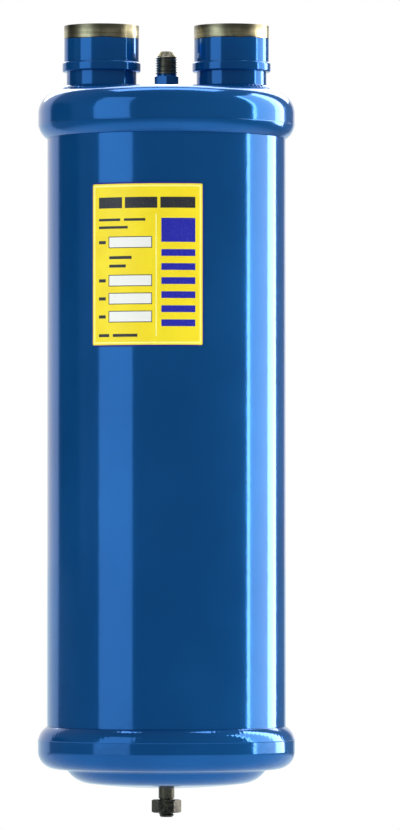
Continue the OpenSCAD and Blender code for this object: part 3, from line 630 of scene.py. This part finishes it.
label_finish, shader, place = start_finish("printed_vinyl")
across, depth, height = place.split()
turn = place.add("ShaderNodeMath", {"operation": "ARCTAN2"}, {0: across, 1: 0 - depth})
across_mm = (turn + LABEL_TURN) * (shell_r * 1000)
height_mm = (height - label_z) * 1000


def printed(shapes, spread=0.0):
    """1 inside any of the shapes, each made larger by the spread."""
    mask = None
    for left, right, low, high in shapes:
        wide = (across_mm > left - spread) * (across_mm < right + spread)
        tall = (height_mm > low - spread) * (height_mm < high + spread)
        mask = wide * tall if mask is None else mask.larger(wide * tall)
    return mask


fade = grain(place, FADE_WAVES, 4.0)
speck = grain(place, SPECK_WAVES)
ink_cover = INK_COVER + (1 - INK_COVER) * speck.ramp(0.35, 0.5)
print_colour = fade.ramp(0.3, 0.7).tint(DEEP_YELLOW, YELLOW)
print_colour = (printed([RIM_OUTSIDE]) - printed([RIM_INSIDE])).tint(print_colour, PALE_YELLOW)
# Painted shadow: the strip of the sheet outside the ground is dark blue, in place of the shadow along the label's
# edge.
print_colour = (1 - printed([GROUND])).tint(print_colour, EDGE_SHADOW_BLUE)
print_colour = printed([DIVIDER]).tint(print_colour, PALE_YELLOW)
print_colour = printed(FIELDS, FIELD_OUTLINE).tint(print_colour, INK)
print_colour = printed(FIELDS).tint(print_colour, FIELD_WHITE)
print_colour = (printed(TITLE + NOTES + TAGS) * ink_cover).tint(print_colour, INK)
print_colour = (printed(BLOCKS) * ink_cover).tint(print_colour, PRINT_BLUE)
ink_height = printed(TITLE + NOTES + TAGS + BLOCKS) + 0.3 * speck
connect(shader, Base_Color=print_colour, Specular_IOR_Level=VINYL_SHEEN)
connect(shader, Roughness=VINYL_ROUGHNESS + VINYL_ROUGHNESS_DRIFT * fade)
connect(shader, Normal=relief(place, ink_height, INK_THICKNESS))
dress(label_finish, "rating_label")

# Screens: a rolled core of perforated sheet between a ring and a cup, one under each stub. The
# sheet is plated steel, spot welded, and hangs from the stub.
stamped_steel = bare_metal("stamped_steel", dark=(0.24, 0.245, 0.25, 1),
                           light=(0.56, 0.565, 0.57, 1), roughness=0.36, waves=500,
                           stretch=(1, 1, 0.15))
for side in ("inlet", "outlet"):
    dress(stamped_steel, side + "_core", side + "_ring", side + "_cup")

# Mesh sleeves: stainless wire knitted into a tube and pulled over each core, several layers
# thick. Here each layer is wires wound one way, with the next layer wound the other way.
core_low, core_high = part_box("inlet_core")
SLEEVE_GAP = 0.00005
sleeve_ir = (core_high[1] - core_low[1]) / 2 + SLEEVE_GAP
SLEEVE_LAYERS = 6
LAYER_WIRES = 22
TURNS_A_METRE = 15.0
WIRE_R = 0.00022
WIRE_SIDES = 4
WIRE_POINTS = 26  # to a turn
WIRE_INSET = 1.1  # wire radii from the sleeve's walls to the middle of a wire
END_INSET = 1.5
wire_steel = bare_metal("drawn_wire", dark=(0.34, 0.34, 0.33, 1), light=(0.66, 0.65, 0.63, 1),
                        roughness=0.28, waves=1500)
sleeve_tree, sleeve = shape_tree("wire_sleeve", {
    "Wires": "Int", "Turns": "Float", "Inner Radius": "Float", "Outer Radius": "Float",
    "Wire Radius": "Float", "Low Z": "Float", "Height": "Float", "Centre X": "Float"})
wires = sleeve["Wires"]
wire_section = {"Resolution": WIRE_SIDES, "Radius": sleeve["Wire Radius"]}
wire_section = wires.add("GeometryNodeCurvePrimitiveCircle", {}, wire_section)
number = wires.add("GeometryNodeInputIndex", {}, {})
spin = wires.add("ShaderNodeCombineXYZ", {}, {"Z": number * math.tau / wires})
inmost = sleeve["Inner Radius"] + sleeve["Wire Radius"] * WIRE_INSET
outmost = sleeve["Outer Radius"] - sleeve["Wire Radius"] * WIRE_INSET
run = sleeve["Height"] - sleeve["Wire Radius"] * (2 * END_INSET)
joined = sleeve_tree.nodes.new("GeometryNodeJoinGeometry")
for layer in range(SLEEVE_LAYERS):
    layer_r = inmost + (outmost - inmost) * (layer / (SLEEVE_LAYERS - 1))
    wound = {"Resolution": WIRE_POINTS, "Rotations": sleeve["Turns"], "Start Radius": layer_r,
             "End Radius": layer_r, "Height": run, "Reverse": layer % 2 == 1}
    wound = wires.add("GeometryNodeCurveSpiral", {}, wound)
    starts = wires.add("GeometryNodePoints", {}, {"Count": wires})
    sockets = {"Points": starts, "Instance": wound, "Rotation": spin}
    placed = wires.add("GeometryNodeInstanceOnPoints", {}, sockets)
    sleeve_tree.links.new(placed.socket, joined.inputs[0])
layers = Wire(sleeve_tree, joined.outputs[0])
bundle = wires.add("GeometryNodeRealizeInstances", {}, {"Geometry": layers})
sockets = {"Curve": bundle, "Profile Curve": wire_section, "Fill Caps": True}
bundle = wires.add("GeometryNodeCurveToMesh", {}, sockets)
lift = {"X": sleeve["Centre X"], "Z": sleeve["Low Z"] + sleeve["Wire Radius"] * END_INSET}
lift = wires.add("ShaderNodeCombineXYZ", {}, lift)
bundle = wires.add("GeometryNodeSetPosition", {}, {"Geometry": bundle, "Offset": lift})
close_tree(sleeve_tree, bundle, wire_steel)
for side in ("inlet", "outlet"):
    low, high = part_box(side + "_mesh")
    sleeve_height = high[2] - low[2]
    knit = grow(side + "_knit", sleeve_tree, {
        "Wires": LAYER_WIRES, "Turns": TURNS_A_METRE * sleeve_height, "Inner Radius": sleeve_ir,
        "Outer Radius": (high[0] - low[0]) / 2, "Wire Radius": WIRE_R, "Low Z": low[2],
        "Height": sleeve_height, "Centre X": (low[0] + high[0]) / 2})
    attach(knit, "vessel")
    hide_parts(side + "_mesh")

# Baffle, bracket and screws: a stamped steel plate between the screens and the sump, and a folded
# steel bracket on the wall of the shell. Two turned screws fix the float valve to the bracket.
turned_steel = bare_metal("turned_steel", dark=(0.20, 0.20, 0.21, 1), light=(0.60, 0.60, 0.60, 1),
                          roughness=0.26, waves=1200, stretch=(0.05, 0.05, 1))
dress(stamped_steel, "baffle_plate", "float_bracket")
dress(turned_steel, "bracket_screw_left", "bracket_screw_right")

# Oil return tube: drawn copper, bent twice on its way up from the float valve to the fitting. It is
# brazed into both.
drawn_copper = bare_metal("drawn_copper", dark=(0.36, 0.13, 0.065, 1), light=(0.80, 0.42, 0.28, 1),
                          roughness=0.3, waves=700, stretch=(1, 1, 0.08))
dress(drawn_copper, "oil_return_tube")

# Float valve: a machined brass body with a pressed-in steel seat and a plug that closes its
# drilling. A turned steel needle works in the seat, and a pin with two clips carries the lever.
machined_brass = bare_metal("machined_brass", dark=(0.44, 0.29, 0.09, 1),
                            light=(0.72, 0.53, 0.22, 1), roughness=0.3, waves=1600)
dress(machined_brass, "valve_body", "passage_plug")
dress(turned_steel, "valve_seat", "needle", "lever_pin", "pin_clip_left", "pin_clip_right")

# Float: two spun stainless halves welded to a ball, with a brass boss and nut that hold it to the
# end of a stamped steel lever. The lever swings on the pin of the valve.
spun_steel = bare_metal("spun_stainless", dark=(0.38, 0.38, 0.37, 1), light=(0.66, 0.65, 0.63, 1),
                        roughness=0.2, waves=900, stretch=(1, 0.05, 1))
dress(spun_steel, "float_inner_half", "float_outer_half")
dress(machined_brass, "float_boss", "float_nut")
dress(stamped_steel, "float_lever")

# Sump magnet: a ring of sintered ferrite that lies at the bottom of the sump. It catches scale
# before the oil takes it to the valve.
CRYSTAL_WAVES = 1800
CRYSTAL_HEIGHT = 0.00003
FERRITE_DARK = (0.010, 0.010, 0.011, 1)
FERRITE_LIGHT = (0.05, 0.05, 0.052, 1)
ferrite, shader, place = start_finish("sintered_ferrite")
crystals = grain(place, CRYSTAL_WAVES, 3.0)
connect(shader, Base_Color=crystals.tint(FERRITE_DARK, FERRITE_LIGHT))
connect(shader, Roughness=0.45 + 0.3 * crystals)
connect(shader, Normal=relief(place, crystals, CRYSTAL_HEIGHT))
dress(ferrite, "sump_magnet")

# Floor: a pale plane, white to the camera apart from a soft shadow. The vessel hangs free over it,
# and it lies where the nut reaches when it is run off. Reflections see it white near the vessel
# and towards the backdrop, and dark elsewhere.
nut_run = next(joint for joint in frame["joints"] if joint["name"] == "nut_run")
NUT_CLEARANCE = 0.0005
FLOOR_Z = nut_low[2] + nut_run["range_m"][0] - NUT_CLEARANCE
FLOOR_SIZE = 60
FLOOR_GREY = (0.9, 0.9, 0.9, 1)
FLOOR_ROUGHNESS = 0.6
WHITE = (1, 1, 1, 1)
COOL = (0.8, 0.95, 1.0)
ROOM_LEVEL = 0.18
BACKDROP = (-0.28, 0.96, 0.0)
BACKDROP_EDGE = (0.78, 0.84)  # cosines from the backdrop's middle at which it starts and is full
NEAR_VESSEL = (0.3, 0.8)  # distances at which the white floor starts to fade and is gone
SHADOW_REACH = (0.12, 0.45)
SHADOW_SHARE = 0.2


def ray_kinds(look):
    """1 on a ray from the camera, on a reflected ray and on a ray through glass, in that order."""
    kinds = ("Is Camera Ray", "Is Glossy Ray", "Is Transmission Ray")
    return [look.add("ShaderNodeLightPath", {}, {}, kind) for kind in kinds]


def dot(vector, way):
    """How far a vector goes along a way of length 1."""
    sockets = {0: vector, 1: way}
    return vector.add("ShaderNodeVectorMath", {"operation": "DOT_PRODUCT"}, sockets, "Value")


bpy.ops.mesh.primitive_plane_add(size=FLOOR_SIZE, location=(0, 0, FLOOR_Z))
floor = bpy.context.object
floor.name = "floor"
floor_finish, shader, place = start_finish("pale_floor")
tree = floor_finish.node_tree
connect(shader, Base_Color=FLOOR_GREY, Roughness=FLOOR_ROUGHNESS)
camera_ray, glossy_ray, through_ray = ray_kinds(place)
away = place.add("ShaderNodeVectorMath", {"operation": "LENGTH"}, {0: place}, "Value")
sweep = (dot(place, BACKDROP) / away).ramp(*BACKDROP_EDGE).larger(1 - away.ramp(*NEAR_VESSEL))
mirrored = ROOM_LEVEL + (1 - ROOM_LEVEL) * sweep
brightness = camera_ray + through_ray + glossy_ray * mirrored
tone = glossy_ray.tint(WHITE, (*COOL, 1))
white = place.add("ShaderNodeEmission", {}, {"Color": tone, "Strength": brightness})
unshaded = 1 - SHADOW_SHARE + SHADOW_SHARE * away.ramp(*SHADOW_REACH)
share = glossy_ray + (camera_ray + through_ray) * unshaded
lit = Wire(tree, shader.outputs[0])
mixed = place.add("ShaderNodeMixShader", {}, {0: share, 1: lit, 2: white})
tree.links.new(mixed.socket, tree.nodes["Material Output"].inputs["Surface"])
floor.data.materials.append(floor_finish)

# Room: white to the camera, with even fill light. Reflections see a dark room with a white backdrop
# behind the vessel and a black flag at its left.
BLACK_FLAG = (-0.906, 0.42, 0.0)
BLACK_FLAG_EDGE = (0.9, 0.95)
BLACK_FLAG_SHADE = 0.9
FILL_LEVEL = 0.58
scene.view_settings.view_transform = "Standard"
world = bpy.data.worlds.new("studio")
scene.world = world
world.use_nodes = True
sky = world.node_tree.nodes["Background"]
look = Wire(world.node_tree)
towards = look.add("ShaderNodeTexCoord", {}, {}, "Generated")
room = ROOM_LEVEL * (1 - BLACK_FLAG_SHADE * dot(towards, BLACK_FLAG).ramp(*BLACK_FLAG_EDGE))
room = room + (1 - room) * dot(towards, BACKDROP).ramp(*BACKDROP_EDGE)
camera_ray, glossy_ray, through_ray = ray_kinds(look)
other_ray = 1 - camera_ray - glossy_ray - through_ray
level = camera_ray + through_ray + glossy_ray * room + other_ray * FILL_LEVEL
connect(sky, Color=WHITE, Strength=level)

# Camera: a long lens about three metres away, a little right of the axis and below the middle of
# the vessel. It is tilted up slightly, to aim near that middle.
CAMERA_X = 0.017
CAMERA_Y = -3.1
CAMERA_Z = 0.126
AIM_Z = 0.189
LENS_MM = 265
SENSOR_MM = 36
camera_data = bpy.data.cameras.new("camera")
camera = bpy.data.objects.new("camera", camera_data)
scene.collection.objects.link(camera)
camera.location = (CAMERA_X, CAMERA_Y, CAMERA_Z)
camera.rotation_euler = (math.pi / 2 + math.atan2(AIM_Z - CAMERA_Z, -CAMERA_Y), 0, 0)
camera_data.lens = LENS_MM
camera_data.sensor_width = SENSOR_MM
scene.camera = camera

# Lamps: tall softboxes round the vessel, which draw the long stripes on the lacquer, one more behind
# and above it, and one overhead. Each is set by its radiance, whatever its size.
WARM = (1.0, 0.96, 0.86)
NEUTRAL = (1.0, 1.0, 1.0)
SOFTBOX_Z = (-0.6, 1.9)
BACK_TOP_Z = (0.75, 3.0)
LEFT_DISTANCE = 1.6
DISTANCE = 1.5
OVERHEAD_SIZE = (1.8, 0.6)
OVERHEAD_PLACE = (0, 0.4, 2.4)
OVERHEAD_RADIANCE = 5.0


def lamp_panel(name, width, height, colour, radiance):
    """A rectangular lamp, which the camera itself doesn't see."""
    data = bpy.data.lights.new(name, "AREA")
    data.shape = "RECTANGLE"
    data.size = width
    data.size_y = height
    data.energy = radiance * math.pi * width * height
    data.color = colour
    lamp = bpy.data.objects.new(name, data)
    scene.collection.objects.link(lamp)
    lamp.visible_camera = False
    return lamp


def softbox(name, start, end, heights, distance, colour, radiance):
    """A lamp that faces the axis, between two azimuths in degrees to the right of the camera."""
    low, high = heights
    turn = math.radians((start + end) / 2)
    width = 2 * distance * math.tan(math.radians((end - start) / 2))
    lamp = lamp_panel(name, width, high - low, colour, radiance)
    lamp.location = (distance * math.sin(turn), -distance * math.cos(turn), (low + high) / 2)
    lamp.rotation_euler = (math.pi / 2, 0, turn)


softbox("left_softbox", -67, -32, SOFTBOX_Z, LEFT_DISTANCE, COOL, 1.5)
softbox("right_edge", 83, 87, SOFTBOX_Z, DISTANCE, WARM, 12.0)
softbox("right_softbox", 87, 112, SOFTBOX_Z, DISTANCE, WARM, 3.6)
softbox("right_strip", 113, 130, SOFTBOX_Z, DISTANCE, NEUTRAL, 10.0)
softbox("back_top", 150, 205, BACK_TOP_Z, DISTANCE, NEUTRAL, 5.0)
overhead = lamp_panel("overhead", *OVERHEAD_SIZE, NEUTRAL, OVERHEAD_RADIANCE)
overhead.location = OVERHEAD_PLACE
